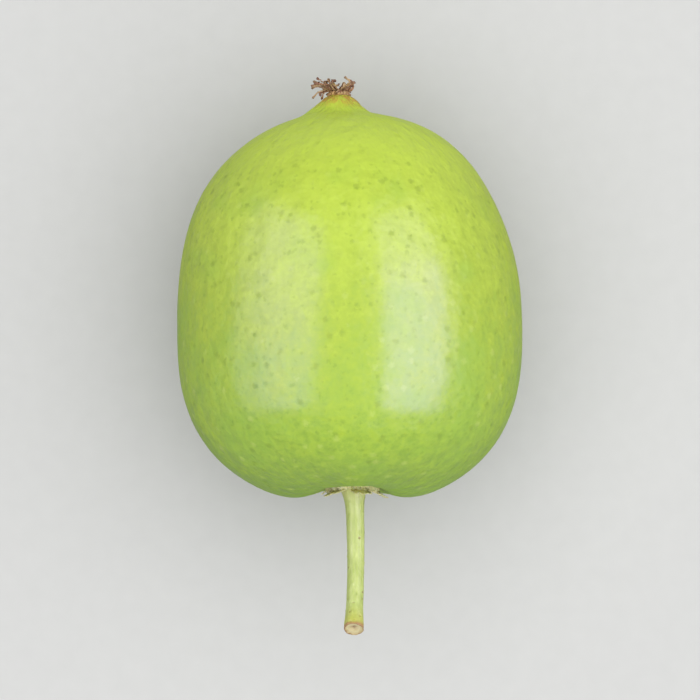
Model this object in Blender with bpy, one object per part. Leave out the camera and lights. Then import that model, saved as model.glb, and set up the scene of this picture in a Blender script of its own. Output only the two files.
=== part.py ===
"""Kiwi berry lying on its side: the fruit, its cut stem, the dry calyx ring and the dried styles.

Metres, +Z up. Each piece is drawn in the fruit's own frame: the long axis is Y, the beak with
the styles points to +Y, the stem to -Y, and the origin is the middle of the widest ring. An empty
then lays the fruit on its flat spot, with the origin under the middle of the whole.
"""
import math
import random

import bmesh
import bpy
from mathutils import Matrix, Vector

MM = 0.001

# The fruit
HALF_WIDTH = 10.1 * MM
HALF_DEPTH = 9.65 * MM
BEAK_SIDE = 12.7 * MM            # widest ring to the foot of the beak
STEM_SIDE = 9.9 * MM             # widest ring to the shoulders at the stem
BEAK_SIDE_POWER = 2.3            # 2 is an ellipse, more is squarer
STEM_SIDE_POWER = 2.6
LOBES = 5
LOBE_SHARE = 0.006               # of the radius
BEAK_HEIGHT = 0.88 * MM
BEAK_RADIUS = 1.5 * MM
BEAK_LEAN = -0.65 * MM           # along X
BEAK_LEAN_REACH = 2.4 * MM
FULLER_SIDE = -0.22 * MM         # the beak half is a little fuller towards -X
FULLER_PLACE = 7.8 * MM          # along the axis, from the widest ring
FULLER_REACH = 3.6 * MM
DIMPLE_DEPTH = 1.35 * MM
DIMPLE_RADIUS = 2.05 * MM
DIMPLE_OFFSET = 0.22 * MM        # along X
DIMPLE_OFFSET_REACH = 3.0 * MM
SHOULDER_HEIGHT = 0.26 * MM      # right and left of the stem, and as much lower above and below
SHOULDER_RADIUS = 3.6 * MM
SKIN_TURNS = 56
SKIN_RINGS = 44
POLE_CROWDING = 0.62             # how much closer the rings are at both ends
REST_PITCH = math.radians(4.0)   # beak end down, which brings the weight over the flat spot
FLAT_DEPTH = 0.22 * MM

GAP = 0.3 * MM                   # between neighbouring pieces

# The stem
STEM_REACH = 8.65 * MM           # along the fruit's axis, from the floor of the dimple
STEM_RISE = 2.3 * MM
STEM_BEND = 0.12 * MM            # sideways, at its middle
STEM_RADIUS = 0.49 * MM
STEM_NECK_RADIUS = 0.55 * MM
STEM_FLARE_RADIUS = 0.98 * MM
STEM_FLARE_LENGTH = 0.75 * MM
STEM_NECK_LENGTH = 3.0 * MM
STEM_END_RADIUS = 0.57 * MM
STEM_END_LENGTH = 0.8 * MM
STEM_CUT_ANGLE = math.radians(10)
STEM_CUT_START = 0.8             # share of the stem from which its rings lean towards the cut
SLOPE_STEP = 0.01                # share of a line over which its direction is taken
STEM_TURNS = 14
STEM_RINGS = 18

# The calyx ring
CALYX_INNER = STEM_FLARE_RADIUS + GAP
CALYX_OUTER = 1.72 * MM
CALYX_STUB = 0.55 * MM
CALYX_STUB_RISE = 0.32 * MM
CALYX_THICKNESS = 0.42 * MM
SEPALS = 5
SEPAL_TURN_SPREAD = 0.12         # share of a fifth of a turn
SEPAL_HALF_WIDTHS = (0.28, 0.4)  # radians
SEPAL_LENGTHS = (0.55, 1.0)      # share of the full stub
CALYX_TURNS = 50
CALYX_SIDES = 8

# The dried styles
STYLE_COUNT = 15
STYLE_SIDES = 5
STYLE_RINGS = 6
STYLE_ROOT_RADIUS = 0.2 * MM
STYLE_MID_RADIUS = 0.15 * MM
STYLE_TIP_RADIUS = 0.22 * MM
STYLE_SHORTEST = 1.2 * MM
STYLE_LONGEST = 1.75 * MM
STYLE_KNOB_RADIUS = 0.75 * MM
STYLE_KNOB_HEIGHT = 0.5 * MM
STYLE_KNOB_SIDES = 12
STYLE_KNOB_RINGS = 5
STYLE_MIDDLE = 0.6               # share of its length where a style is slimmest
STYLE_TIP_ROUND = 0.6            # how far the tip's point stands out, in tip radii
STYLE_OUTWARD_STEP = 0.381966    # of a turn, the golden angle, so that no two styles line up
STYLE_TURN_SPREAD = 0.03         # of a turn
STYLE_LIFT = 0.12                # at its root, as a share of its length, as are the next three
STYLE_RISES = (0.0, 0.55)
STYLE_CURLS = (-0.35, 0.2)
STYLE_SWAYS = (-0.4, 0.4)
STYLE_SEED = 11

# Colours, as red, green and blue in linear light
SKIN_COLOUR = (0.36, 0.53, 0.07)
STEM_COLOUR = (0.50, 0.55, 0.18)
CALYX_COLOUR = (0.22, 0.16, 0.09)
STYLE_COLOUR = (0.24, 0.11, 0.06)
SKIN_ROUGHNESS = 0.38
STEM_ROUGHNESS = 0.6
CALYX_ROUGHNESS = 0.85
STYLE_ROUGHNESS = 0.8


def clear_scene():
    """Start from an empty scene."""
    for thing in list(bpy.data.objects):
        bpy.data.objects.remove(thing, do_unlink=True)


def finish(name, colour, roughness):
    """A plain material of one colour."""
    material = bpy.data.materials.new(name)
    material.use_nodes = True
    shader = material.node_tree.nodes["Principled BSDF"]
    shader.inputs["Base Color"].default_value = (*colour, 1.0)
    shader.inputs["Roughness"].default_value = roughness
    shader.inputs["Metallic"].default_value = 0.0
    return material


def add_piece(name, mesh_builder, material):
    """Turn a bmesh into a named, smooth object."""
    mesh = bpy.data.meshes.new(name)
    bmesh.ops.recalc_face_normals(mesh_builder, faces=mesh_builder.faces)
    mesh_builder.to_mesh(mesh)
    mesh_builder.free()
    piece = bpy.data.objects.new(name, mesh)
    bpy.context.scene.collection.objects.link(piece)
    mesh.materials.append(material)
    mesh.shade_smooth()
    mesh.set_sharp_from_angle(angle=math.radians(50))
    return piece


def join_loops(builder, lower, upper):
    """Quads between two closed loops of vertices."""
    count = len(lower)
    for i in range(count):
        j = (i + 1) % count
        builder.faces.new((lower[i], lower[j], upper[j], upper[i]))


def close_loop(builder, loop, middle):
    """Triangles from one closed loop to a middle point."""
    centre = builder.verts.new(middle)
    count = len(loop)
    for i in range(count):
        builder.faces.new((loop[i], loop[(i + 1) % count], centre))


def tube(loops, first_middle, last_middle):
    """A closed skin over a run of point loops, with a middle point at each end."""
    builder = bmesh.new()
    rings = [[builder.verts.new(point) for point in loop] for loop in loops]
    for lower, upper in zip(rings, rings[1:]):
        join_loops(builder, lower, upper)
    close_loop(builder, rings[0], first_middle)
    close_loop(builder, rings[-1], last_middle)
    return builder


def swell(radius, reach):
    """A soft bump: 1 in the middle, fading to 0 beyond its reach."""
    return math.exp(-(radius / reach) ** 2)


def shoulder(radius):
    """A ring-shaped bump that peaks at the shoulders' radius."""
    share = (radius / SHOULDER_RADIUS) ** 2
    return share * math.exp(1.0 - share)


def skin_point(radius, turn, beak_end):
    """The skin at a radius from the long axis and a turn about it, on one end of the fruit."""
    share = min(radius / HALF_WIDTH, 1.0)
    if beak_end:
        along = BEAK_SIDE * (1.0 - share ** BEAK_SIDE_POWER) ** (1.0 / BEAK_SIDE_POWER)
        along += BEAK_HEIGHT * swell(radius, BEAK_RADIUS)
        sideways = BEAK_LEAN * swell(radius, BEAK_LEAN_REACH)
        sideways += FULLER_SIDE * swell(along - FULLER_PLACE, FULLER_REACH)
    else:
        depth = STEM_SIDE * (1.0 - share ** STEM_SIDE_POWER) ** (1.0 / STEM_SIDE_POWER)
        depth -= DIMPLE_DEPTH * swell(radius, DIMPLE_RADIUS)
        depth += SHOULDER_HEIGHT * math.cos(2.0 * turn) * shoulder(radius)
        along = -depth
        sideways = DIMPLE_OFFSET * swell(radius, DIMPLE_OFFSET_REACH)
    lobed = radius * (1.0 + LOBE_SHARE * math.sin(LOBES * turn) * share)
    across = lobed * math.cos(turn) + sideways
    height = lobed * math.sin(turn) * HALF_DEPTH / HALF_WIDTH
    return Vector((across, along, height))


def ring_radius(latitude):
    """Radius of the ring at a latitude: 0 at the beak, pi at the stem."""
    power = BEAK_SIDE_POWER if latitude < math.pi / 2 else STEM_SIDE_POWER
    return HALF_WIDTH * math.sin(latitude) ** (2.0 / power)


def skin_loops():
    """Rings of skin points from the beak to the stem, closer together at both ends."""
    loops = []
    for ring in range(1, SKIN_RINGS):
        step = ring / SKIN_RINGS
        crowd = POLE_CROWDING * math.sin(2.0 * math.pi * step) / (2.0 * math.pi)
        latitude = math.pi * (step - crowd)
        radius = ring_radius(latitude)
        beak_end = latitude < math.pi / 2
        loops.append([skin_point(radius, 2.0 * math.pi * i / SKIN_TURNS, beak_end)
                      for i in range(SKIN_TURNS)])
    return loops


def cut_flat_spot(builder):
    """Slice off a thin cap where the laid fruit touches the surface, and close it flat."""
    down = Matrix.Rotation(REST_PITCH, 3, 'X') @ Vector((0.0, 0.0, -1.0))
    lowest = max(vert.co.dot(down) for vert in builder.verts)
    cut = bmesh.ops.bisect_plane(
        builder,
        geom=builder.verts[:] + builder.edges[:] + builder.faces[:],
        plane_co=down * (lowest - FLAT_DEPTH),
        plane_no=down,
        clear_outer=True,
    )
    rim = [item for item in cut["geom_cut"] if isinstance(item, bmesh.types.BMEdge)]
    bmesh.ops.edgeloop_fill(builder, edges=rim)


def make_berry():
    """The fruit: one grown body with its beak, dimple, shoulders and flat spot."""
    builder = tube(skin_loops(), skin_point(0.0, 0.0, True), skin_point(0.0, 0.0, False))
    cut_flat_spot(builder)
    return add_piece("berry", builder, finish("skin", SKIN_COLOUR, SKIN_ROUGHNESS))


def stem_radius(along):
    """Half the stem's thickness at a distance along it."""
    flare = (STEM_FLARE_RADIUS - STEM_NECK_RADIUS) * swell(along, STEM_FLARE_LENGTH)
    neck = (STEM_NECK_RADIUS - STEM_RADIUS) * swell(along, STEM_NECK_LENGTH)
    end = (STEM_END_RADIUS - STEM_RADIUS) * swell(STEM_REACH - along, STEM_END_LENGTH)
    return STEM_RADIUS + flare + neck + end


def stem_middle(share):
    """The stem's centre line, as a share of its reach: out along -Y, rising and bowing a little."""
    across = STEM_BEND * math.sin(math.pi * share)
    return Vector((across, -STEM_REACH * share, STEM_RISE * share ** 2))


def make_stem():
    """The stalk, flared where it meets the fruit, with an oblique cut at its free end."""
    loops = []
    for ring in range(STEM_RINGS + 1):
        share = ring / STEM_RINGS
        middle = stem_middle(share)
        ahead = stem_middle(share + SLOPE_STEP) - stem_middle(share - SLOPE_STEP)
        turn_to = Vector((0.0, -1.0, 0.0)).rotation_difference(ahead)
        near_cut = max(0.0, (share - STEM_CUT_START) / (1.0 - STEM_CUT_START))
        lean = math.tan(STEM_CUT_ANGLE) * near_cut
        radius = stem_radius(STEM_REACH * share)
        loop = []
        for i in range(STEM_TURNS):
            turn = 2.0 * math.pi * i / STEM_TURNS
            height = radius * math.sin(turn)
            offset = Vector((radius * math.cos(turn), lean * height, height))
            loop.append(middle + turn_to @ offset)
        loops.append(loop)
    builder = tube(loops, stem_middle(0.0), stem_middle(1.0))
    stem = add_piece("stem", builder, finish("stalk", STEM_COLOUR, STEM_ROUGHNESS))
    stem.location = skin_point(0.0, 0.0, False) - Vector((0.0, GAP, 0.0))
    return stem


def sepal_stub(turn, draws):
    """How far the torn sepals stand out at a turn, from 0 to about 1."""
    reach = 0.0
    for sepal in range(SEPALS):
        middle, width, length = draws[sepal]
        away = math.remainder(turn - middle, 2.0 * math.pi) / width
        reach = max(reach, length * math.exp(-away ** 4))
    return reach


def make_calyx_ring():
    """The dry ring round the stem's foot, with the stubs of five torn sepals."""
    random.seed(STYLE_SEED)
    draws = []
    for sepal in range(SEPALS):
        spread = random.uniform(-SEPAL_TURN_SPREAD, SEPAL_TURN_SPREAD)
        middle = 2.0 * math.pi * (sepal + spread) / SEPALS
        draws.append((middle, random.uniform(*SEPAL_HALF_WIDTHS), random.uniform(*SEPAL_LENGTHS)))
    builder = bmesh.new()
    rings = []
    for step in range(CALYX_TURNS):
        turn = 2.0 * math.pi * step / CALYX_TURNS
        stub = sepal_stub(turn, draws)
        outer = CALYX_OUTER + CALYX_STUB * stub
        half_band = (outer - CALYX_INNER) / 2.0
        band_middle = (outer + CALYX_INNER) / 2.0
        loop = []
        for side in range(CALYX_SIDES):
            around = 2.0 * math.pi * side / CALYX_SIDES
            radius = band_middle + half_band * math.cos(around)
            outward = (radius - CALYX_INNER) / (CALYX_OUTER + CALYX_STUB - CALYX_INNER)
            lift = GAP + CALYX_THICKNESS * (1.0 + math.sin(around)) / 2.0
            lift += CALYX_STUB_RISE * stub * outward ** 2
            point = skin_point(radius, turn, False) - Vector((0.0, lift, 0.0))
            loop.append(builder.verts.new(point))
        rings.append(loop)
    for lower, upper in zip(rings, rings[1:] + rings[:1]):
        join_loops(builder, lower, upper)
    return add_piece("calyx_ring", builder, finish("dry_calyx", CALYX_COLOUR, CALYX_ROUGHNESS))


def style_radius(share):
    """Half a style's thickness: slim in the middle, with a small swollen tip."""
    if share < STYLE_MIDDLE:
        inner = share / STYLE_MIDDLE
        return STYLE_ROOT_RADIUS + (STYLE_MID_RADIUS - STYLE_ROOT_RADIUS) * inner
    outer = (share - STYLE_MIDDLE) / (1.0 - STYLE_MIDDLE)
    return STYLE_MID_RADIUS + (STYLE_TIP_RADIUS - STYLE_MID_RADIUS) * outer


def make_style(index):
    """One dry style: out from the tuft's middle, then curling forwards or back."""
    spread = random.uniform(-STYLE_TURN_SPREAD, STYLE_TURN_SPREAD)
    turn = 2.0 * math.pi * (index * STYLE_OUTWARD_STEP + spread)
    length = random.uniform(STYLE_SHORTEST, STYLE_LONGEST)
    rise = random.uniform(*STYLE_RISES)
    curl = random.uniform(*STYLE_CURLS)
    sway = random.uniform(*STYLE_SWAYS)
    outward = Vector((math.cos(turn), 0.0, math.sin(turn)))
    sideways = Vector((-math.sin(turn), 0.0, math.cos(turn)))
    forwards = Vector((0.0, 1.0, 0.0))

    def middle(share):
        return length * (outward * share
                         + forwards * (STYLE_LIFT + rise * share + curl * share ** 2)
                         + sideways * sway * share ** 2)

    loops = []
    for ring in range(STYLE_RINGS + 1):
        share = ring / STYLE_RINGS
        ahead = middle(share + SLOPE_STEP) - middle(share - SLOPE_STEP)
        turn_to = Vector((0.0, 0.0, 1.0)).rotation_difference(ahead)
        radius = style_radius(share)
        loop = []
        for side in range(STYLE_SIDES):
            around = 2.0 * math.pi * side / STYLE_SIDES
            offset = Vector((radius * math.cos(around), radius * math.sin(around), 0.0))
            loop.append(middle(share) + turn_to @ offset)
        loops.append(loop)
    pointing = (middle(1.0) - middle(1.0 - SLOPE_STEP)).normalized()
    tip = middle(1.0) + pointing * STYLE_TIP_RADIUS * STYLE_TIP_ROUND
    builder = tube(loops, middle(0.0), tip)
    return add_piece("style_%02d" % index, builder, bpy.data.materials["dry_style"])


def make_knob():
    """The low dry knob that the styles grow from."""
    loops = []
    for ring in range(STYLE_KNOB_RINGS):
        angle = math.pi * (ring + 0.5) / STYLE_KNOB_RINGS - math.pi / 2
        radius = STYLE_KNOB_RADIUS * math.cos(angle)
        along = STYLE_KNOB_HEIGHT * (1.0 + math.sin(angle)) / 2.0
        turns = [2.0 * math.pi * side / STYLE_KNOB_SIDES for side in range(STYLE_KNOB_SIDES)]
        loops.append([Vector((radius * math.cos(turn), along, radius * math.sin(turn)))
                      for turn in turns])
    first = Vector((0.0, 0.0, 0.0))
    last = Vector((0.0, STYLE_KNOB_HEIGHT, 0.0))
    return add_piece("dried_styles", tube(loops, first, last), bpy.data.materials["dry_style"])


def make_dried_styles():
    """The tuft on the beak: a knob and its styles, joined into one body."""
    finish("dry_style", STYLE_COLOUR, STYLE_ROUGHNESS)
    random.seed(STYLE_SEED)
    knob = make_knob()
    loose = bpy.data.collections.new("loose_styles")
    for index in range(STYLE_COUNT):
        style = make_style(index)
        bpy.context.scene.collection.objects.unlink(style)
        loose.objects.link(style)
    union = knob.modifiers.new("join_styles", 'BOOLEAN')
    union.operation = 'UNION'
    union.operand_type = 'COLLECTION'
    union.collection = loose
    union.solver = 'EXACT'
    bpy.context.view_layer.update()
    joined = bpy.data.meshes.new_from_object(
        knob.evaluated_get(bpy.context.evaluated_depsgraph_get()))
    knob.modifiers.clear()
    knob.data = joined
    for style in list(loose.objects):
        bpy.data.objects.remove(style, do_unlink=True)
    bpy.data.collections.remove(loose)
    knob.location = skin_point(0.0, 0.0, True) + Vector((0.0, GAP, 0.0))
    return knob


def lay_down(pieces):
    """Lay the fruit on its flat spot, with the origin on the surface under the middle."""
    rest = bpy.data.objects.new("laid_fruit", None)
    bpy.context.scene.collection.objects.link(rest)
    rest.rotation_euler = (-REST_PITCH, 0.0, 0.0)
    for piece in pieces:
        piece.parent = rest
    bpy.context.view_layer.update()
    corners = [piece.matrix_world @ vert.co for piece in pieces for vert in piece.data.vertices]
    low = Vector([min(corner[axis] for corner in corners) for axis in range(3)])
    high = Vector([max(corner[axis] for corner in corners) for axis in range(3)])
    rest.location = (-(low.x + high.x) / 2.0, -(low.y + high.y) / 2.0, -low.z)
    bpy.context.view_layer.update()


def main():
    clear_scene()
    lay_down([make_berry(), make_stem(), make_calyx_ring(), make_dried_styles()])


main()
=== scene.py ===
# %% [markdown]
# A kiwi berry, dressed for its picture
#
# The fruit is a hardy kiwi, about as long as a thumb joint, lying on its side. It is firm, smooth and
# yellow-green, with a low beak at one end that still carries the dry styles of the flower, and a
# dimple at the other end with a torn calyx and a cut stalk. The construction model already has those
# four pieces as plain solids. This lesson makes a finer mesh for each of them, gives each a finish
# worked out from noise and formulas, and then sets the floor, the lights and the camera.

# %% Open the frame
import math
import random

import bpy
import numpy as np
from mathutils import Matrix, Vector, noise


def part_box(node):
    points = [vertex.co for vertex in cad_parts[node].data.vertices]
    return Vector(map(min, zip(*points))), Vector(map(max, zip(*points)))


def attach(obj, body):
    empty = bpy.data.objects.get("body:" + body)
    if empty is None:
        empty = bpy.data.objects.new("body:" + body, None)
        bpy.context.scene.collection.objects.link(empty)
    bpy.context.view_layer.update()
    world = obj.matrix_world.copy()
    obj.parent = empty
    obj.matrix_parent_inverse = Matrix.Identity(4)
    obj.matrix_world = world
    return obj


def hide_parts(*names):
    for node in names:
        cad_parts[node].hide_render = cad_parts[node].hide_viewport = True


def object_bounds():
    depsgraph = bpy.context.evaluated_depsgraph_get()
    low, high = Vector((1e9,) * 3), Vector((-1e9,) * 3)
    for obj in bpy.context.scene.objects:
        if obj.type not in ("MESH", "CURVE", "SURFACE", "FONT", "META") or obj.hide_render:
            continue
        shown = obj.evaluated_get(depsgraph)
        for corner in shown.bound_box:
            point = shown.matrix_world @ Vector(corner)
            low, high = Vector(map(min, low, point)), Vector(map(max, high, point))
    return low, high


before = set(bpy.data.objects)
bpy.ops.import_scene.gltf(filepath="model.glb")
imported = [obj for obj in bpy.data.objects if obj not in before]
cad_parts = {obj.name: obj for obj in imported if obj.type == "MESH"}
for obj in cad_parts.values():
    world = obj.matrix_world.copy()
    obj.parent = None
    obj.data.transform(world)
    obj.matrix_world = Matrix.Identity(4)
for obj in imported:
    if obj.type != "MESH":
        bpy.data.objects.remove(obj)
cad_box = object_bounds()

print("nodes in the frame:", sorted(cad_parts))

# %% [markdown]
# One shape, two meshes
#
# The fine skin has to lie where the solid lies, so it starts from the same numbers and formulas. A
# fruit is easiest to describe in its own frame: Y runs along it from the stalk to the beak, and the
# origin is the middle of its widest ring. Every length here is in millimetres. Two half profiles,
# each a little squarer than an ellipse, meet at the widest ring. Soft bumps then make the beak, the
# dimple and the shoulders on both sides of the stalk.

# %% Sizes of the fruit, in millimetres
HALF_WIDTH = 10.1
HALF_DEPTH = 9.65
BEAK_SIDE = 12.7
STEM_SIDE = 9.9
BEAK_SIDE_POWER = 2.3
STEM_SIDE_POWER = 2.6
LOBES = 5
LOBE_SHARE = 0.006
BEAK_HEIGHT = 0.88
BEAK_RADIUS = 1.5
BEAK_LEAN = -0.65
BEAK_LEAN_REACH = 2.4
FULLER_SIDE = -0.22
FULLER_PLACE = 7.8
FULLER_REACH = 3.6
DIMPLE_DEPTH = 1.35
DIMPLE_RADIUS = 2.05
DIMPLE_OFFSET = 0.22
DIMPLE_OFFSET_REACH = 3.0
SHOULDER_HEIGHT = 0.26
SHOULDER_RADIUS = 3.6
REST_PITCH = math.radians(4.0)
GAP = 0.3
FULL_TURN = 2.0 * math.pi
MM = 0.001


def swell(distance, reach):
    """A soft bump: 1 in the middle, fading to 0 beyond its reach."""
    return np.exp(-(distance / reach) ** 2)


def skin_at(radius, turn, beak_end):
    """Points of the smooth skin, at radii from the long axis and turns about it, on one end."""
    share = np.clip(radius / HALF_WIDTH, 0.0, 1.0)
    if beak_end:
        along = BEAK_SIDE * (1.0 - share ** BEAK_SIDE_POWER) ** (1.0 / BEAK_SIDE_POWER)
        along = along + BEAK_HEIGHT * swell(radius, BEAK_RADIUS)
        sideways = BEAK_LEAN * swell(radius, BEAK_LEAN_REACH)
        sideways = sideways + FULLER_SIDE * swell(along - FULLER_PLACE, FULLER_REACH)
    else:
        around_stem = (radius / SHOULDER_RADIUS) ** 2
        depth = STEM_SIDE * (1.0 - share ** STEM_SIDE_POWER) ** (1.0 / STEM_SIDE_POWER)
        depth = depth - DIMPLE_DEPTH * swell(radius, DIMPLE_RADIUS)
        depth = depth + (SHOULDER_HEIGHT * np.cos(2.0 * turn)
                         * around_stem * np.exp(1.0 - around_stem))
        along = -depth
        sideways = DIMPLE_OFFSET * swell(radius, DIMPLE_OFFSET_REACH)
    lobed = radius * (1.0 + LOBE_SHARE * np.sin(LOBES * turn) * share)
    across = lobed * np.cos(turn) + sideways
    height = lobed * np.sin(turn) * HALF_DEPTH / HALF_WIDTH
    return np.stack(np.broadcast_arrays(across, along, height), axis=-1)


BEAK_TIP = skin_at(np.float64(0.0), 0.0, True)
DIMPLE_FLOOR = skin_at(np.float64(0.0), 0.0, False)
print("beak tip", BEAK_TIP.round(2), "dimple floor", DIMPLE_FLOOR.round(2))

# %% [markdown]
# A grid wrapped round the fruit
#
# A ball of skin can be a cube that is subdivided and pushed out, or a grid of rings. Rings are right
# here, because everything on this fruit runs round it or from pole to pole. The rings lie closer
# together at both ends, where the small forms are.

# %% Rings of skin points
SKIN_TURNS = 320
SKIN_RINGS = 270
POLE_CROWDING = 0.62


def turns_of(sides):
    """Equal turns about an axis, in radians, for a ring with so many sides."""
    return FULL_TURN * np.arange(sides) / sides


def skin_grid(turns, rings):
    """Radius, turn and end for each point of a grid of rings, without its two poles."""
    step = np.arange(1, rings) / rings
    latitude = np.pi * (step - POLE_CROWDING * np.sin(FULL_TURN * step) / FULL_TURN)
    power = np.where(latitude < np.pi / 2, BEAK_SIDE_POWER, STEM_SIDE_POWER)
    ring_radius = HALF_WIDTH * np.sin(latitude) ** (2.0 / power)
    return [*np.meshgrid(ring_radius, turns_of(turns), indexing="ij"), latitude < np.pi / 2]


radius_grid, turn_grid, beak_rings = skin_grid(SKIN_TURNS, SKIN_RINGS)
smooth_skin = np.concatenate([
    skin_at(radius_grid[beak_rings], turn_grid[beak_rings], True),
    skin_at(radius_grid[~beak_rings], turn_grid[~beak_rings], False)])
ring_steps = np.linalg.norm(np.diff(smooth_skin, axis=0), axis=-1).mean(axis=1)
skin_walk = np.concatenate([[0.0], np.cumsum(ring_steps)])
print("skin grid", smooth_skin.shape, "from pole to pole, mm", skin_walk[-1].round(1))

# %% [markdown]
# Lay it down
#
# The fruit tips four degrees towards its beak, which is how it settles. The turn is known and the
# place is read from the frame: the smooth skin's box has to sit in the solid's box, centred on it
# seen from above and level with its top.

# %% From the fruit's frame to the shared frame
def turned(points, pitch=REST_PITCH):
    """The fruit's frame with the beak tipped down by a pitch, still in millimetres."""
    points = np.asarray(points, dtype=float)
    across, along, height = points[..., 0], points[..., 1], points[..., 2]
    return np.stack([across, along * math.cos(pitch) + height * math.sin(pitch),
                     height * math.cos(pitch) - along * math.sin(pitch)], axis=-1)


def resting_place():
    """Where the origin of the fruit's frame lies in the shared frame, in metres."""
    low, high = (np.array(corner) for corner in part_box("berry"))
    flat = turned(smooth_skin).reshape(-1, 3)
    middle = (low + high) / 2.0 - MM * (flat.min(0) + flat.max(0)) / 2.0
    return np.array([middle[0], middle[1], high[2] - MM * flat[:, 2].max()])


PLACE = resting_place()


def laid(points):
    """Points of the fruit's frame, in metres in the shared frame."""
    return turned(points) * MM + PLACE


print("fruit's origin in the shared frame, mm:", (PLACE / MM).round(2))

# %% [markdown]
# Meshes from arrays
#
# Three small makers are enough for the whole fruit: one joins rings into a skin with closed ends, one
# turns a sheet of points into a thin slab, and one collects several such skins in one object. Notes
# on each point, such as how far along the stalk it is, go along as mesh attributes, which a finish
# can read later.

# %% Mesh makers
TINY = 1e-12


def unit(vectors):
    """The same directions, each with a length of one."""
    return vectors / (np.linalg.norm(vectors, axis=-1, keepdims=True) + TINY)


def wrap(rings, first=None, last=None):
    """Faces over closed rings of points, with a middle point that closes each end."""
    rows, turns = rings.shape[:2]
    points = [rings.reshape(-1, 3)]
    number = np.arange(rows * turns).reshape(rows, turns)
    ahead = np.roll(number, -1, axis=1)
    faces = np.stack([number[:-1], ahead[:-1], ahead[1:], number[1:]], axis=-1).reshape(-1, 4)
    faces = [tuple(face) for face in faces.tolist()]
    middle = rows * turns
    for row, point, flip in ((0, first, True), (rows - 1, last, False)):
        if point is None:
            continue
        points.append(np.reshape(point, (1, 3)))
        for here, there in zip(number[row].tolist(), ahead[row].tolist()):
            faces.append((there, here, middle) if flip else (here, there, middle))
        middle += 1
    return np.concatenate(points), faces


def slab(sheet, thickness):
    """A closed thin body from a sheet of points, thickened towards its lower side."""
    rows, columns = sheet.shape[:2]
    normal = unit(np.cross(np.gradient(sheet, axis=0), np.gradient(sheet, axis=1)))
    back = sheet - normal * thickness[..., None]
    points, faces = wrap(np.concatenate([sheet, back[:, ::-1]], axis=1))
    for row, flip in ((0, True), (rows - 1, False)):
        start = row * 2 * columns
        for i in range(columns - 1):
            face = (start + i, start + i + 1,
                    start + 2 * columns - 2 - i, start + 2 * columns - 1 - i)
            faces.append(face[::-1] if flip else face)
    return points, faces


def make_piece(name, bodies, notes, stands_for, smooth_angle=60.0):
    """One object from several (points, faces), riding on the fruit in place of a plain solid."""
    points, faces = [], []
    for body_points, body_faces in bodies:
        start = sum(len(part) for part in points)
        points.append(body_points)
        faces += [tuple(start + corner for corner in face) for face in body_faces]
    points = np.concatenate(points)
    mesh = bpy.data.meshes.new(name)
    mesh.from_pydata(laid(points).tolist(), [], faces)
    for label, values in notes.items():
        kind = "FLOAT" if np.ndim(values) == 1 else "FLOAT_VECTOR"
        field = "value" if kind == "FLOAT" else "vector"
        mesh.attributes.new(label, kind, "POINT").data.foreach_set(
            field, np.ascontiguousarray(values, dtype=np.float32).ravel())
    mesh.shade_smooth()
    mesh.set_sharp_from_angle(angle=math.radians(smooth_angle))
    mesh.update()
    piece = bpy.data.objects.new(name, mesh)
    bpy.context.scene.collection.objects.link(piece)
    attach(piece, "root")
    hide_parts(stands_for)
    print(name, len(mesh.vertices), "points", sum(len(face) - 2 for face in faces), "triangles")
    return piece


print("a tube of three rings of eight points has", len(wrap(np.zeros((3, 8, 3)))[1]), "faces")

# %% [markdown]
# Noise on points
#
# Grown things are never even. Smooth random bumps, taken at each point's place in space, give the
# same answer on every run, and have no seam where the grid closes.

# %% Noise helpers
OCTAVE_FADE = 0.8
OCTAVE_STEP = 2.0


def bumps(points, size, octaves=1, shift=0.0):
    """Smooth noise from about -1 to 1 at each point, with bumps of about the given size."""
    offset = Vector((shift, 1.7 * shift, -0.6 * shift))
    flat = points.reshape(-1, 3) / size
    values = [noise.fractal(Vector(point) + offset, OCTAVE_FADE, OCTAVE_STEP, octaves)
              for point in flat.tolist()]
    return np.array(values).reshape(points.shape[:-1])


def furrows(turn, count, seed, narrow, wide):
    """Random radial furrows round a pole, from 0 on the skin to about 1 at their floors.

    Each has a half width between narrow and wide, in radians, and its own depth.
    """
    draw = random.Random(seed)
    depth = np.zeros_like(turn)
    for index in range(count):
        middle = FULL_TURN * (index + draw.uniform(-0.35, 0.35)) / count
        width = draw.uniform(narrow, wide)
        away = np.remainder(turn - middle + np.pi, FULL_TURN) - np.pi
        depth = np.maximum(depth, draw.uniform(0.35, 1.0) * swell(away, width))
    return depth


print("noise at three places:", bumps(np.eye(3), 0.3).round(2))

# %% [markdown]
# The skin
#
# The real skin is taut, and still not a perfect egg. It swells and sinks by a few hundredths of a
# millimetre, it is drawn into small puckers where it runs up to the beak, and it folds into the
# dimple round the stalk. The beak is steeper on one side and ends in a low flat cap. These are real
# shapes, so they go into the mesh: each point moves along the skin's own direction outwards. Pores
# are finer than the mesh and come later, in the finish.

# %% Skin relief, in millimetres from the pole and in height
BROAD_SWELL = 0.06
SMALL_SWELL = 0.014
RIB_HEIGHT = 0.005
RIBS = 13
FINE_RIBS = 21
BEAK_FOLDS = 11
BEAK_FOLD_DEPTH = 0.07
BEAK_FOLD_PLACE = 1.7
BEAK_FOLD_REACH = 1.15
DIMPLE_FOLDS = 9
DIMPLE_FOLD_DEPTH = 0.1
DIMPLE_FOLD_PLACE = 2.7
DIMPLE_FOLD_REACH = 1.3
STEEP_SIDE = 0.16
STEEP_PLACE = 1.75
STEEP_REACH = 0.75
CAP_HEIGHT = 0.3
CAP_RADIUS = 1.3
CAP_POWER = 3.5  # how sharply the cap ends
FAR = 99.0  # stands for the other end of the fruit


def outwards(grid):
    """The direction away from the fruit at each point of the skin grid."""
    along = np.gradient(grid, axis=0)
    round_it = np.roll(grid, -1, axis=1) - np.roll(grid, 1, axis=1)
    return unit(np.cross(round_it, along))


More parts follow.
